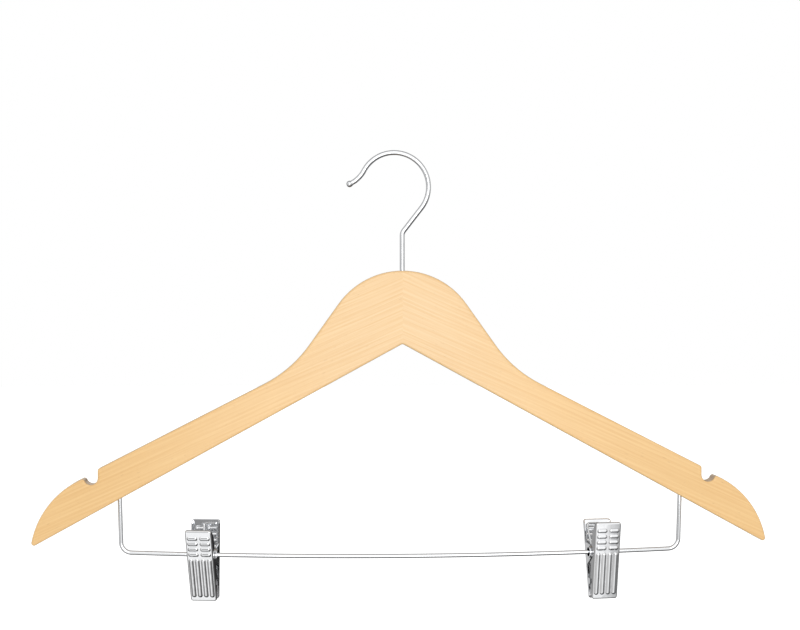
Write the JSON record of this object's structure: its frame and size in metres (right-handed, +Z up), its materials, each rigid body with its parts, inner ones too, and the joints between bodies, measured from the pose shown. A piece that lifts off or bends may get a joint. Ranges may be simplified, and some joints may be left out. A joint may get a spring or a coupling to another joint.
{
  "type": "skirt hanger",
  "caption": "Wooden skirt hanger with a chromed swivel hook, strap notches, a wire drop bar and sliding sprung metal clips that grip a waistband.",
  "frame": {"origin": "the point inside the hook's bow where a rail touches it, on the swivel axis", "axes": "+X along the arms to the right seen from the front, +Y from the front to the back, +Z up"},
  "size_m": [0.4452, 0.0308, 0.2738],
  "materials": {
    "wood": "clear satin lacquer over pale straight-grained wood",
    "chrome": "polished chrome plate",
    "clip_chrome": "bright plated pressed steel",
    "zinc": "zinc plate",
    "spring_steel": "plated spring wire"
  },
  "bodies": {
    "hook": {"hook": "chrome", "hook_nut": "zinc"},
    "frame": {"left_arm": "wood", "right_arm": "wood", "drop_bar": "chrome", "hook_washer": "zinc"},
    "left_clip_tube": {"left_clip_pivot_tube": "clip_chrome"},
    "left_clip_rear": {"left_clip_rear_jaw": "clip_chrome", "left_clip_spring": "spring_steel"},
    "left_clip_front": {"left_clip_front_jaw": "clip_chrome"},
    "right_clip_tube": {"right_clip_pivot_tube": "clip_chrome"},
    "right_clip_rear": {"right_clip_rear_jaw": "clip_chrome", "right_clip_spring": "spring_steel"},
    "right_clip_front": {"right_clip_front_jaw": "clip_chrome"}
  },
  "joints": [
    {"name": "hook_swivel", "type": "hinge", "parent": "hook", "child": "frame", "pos_m": [0, 0, -0.09], "axis": [0, 0, 1], "continuous": true},
    {"name": "left_clip_slide", "type": "slide", "parent": "frame", "child": "left_clip_tube", "axis": [0.9997, 0, -0.0225], "range_m": [-0.028, 0.104]},
    {"name": "left_clip_swing", "type": "hinge", "parent": "left_clip_tube", "child": "left_clip_rear", "pos_m": [-0.1206, 0, -0.24179], "axis": [0.9912, -0.1323, 0], "continuous": true},
    {"name": "left_clip_open", "type": "hinge", "parent": "left_clip_rear", "child": "left_clip_front", "pos_m": [-0.1206, 0, -0.24179], "axis": [-0.9912, 0.1323, 0], "range_deg": [0, 30], "stiffness_Nm_per_rad": 0.5, "springref_deg": -1.72, "deforming": ["left_clip_spring"]},
    {"name": "right_clip_slide", "type": "slide", "parent": "frame", "child": "right_clip_tube", "axis": [-0.9997, 0, -0.0225], "range_m": [-0.028, 0.104]},
    {"name": "right_clip_swing", "type": "hinge", "parent": "right_clip_tube", "child": "right_clip_rear", "pos_m": [0.123, 0, -0.24172], "axis": [0.9912, 0.1323, 0], "continuous": true},
    {"name": "right_clip_open", "type": "hinge", "parent": "right_clip_rear", "child": "right_clip_front", "pos_m": [0.123, 0, -0.24172], "axis": [-0.9912, -0.1323, 0], "range_deg": [0, 30], "stiffness_Nm_per_rad": 0.5, "springref_deg": -1.72, "deforming": ["right_clip_spring"]}
  ]
}
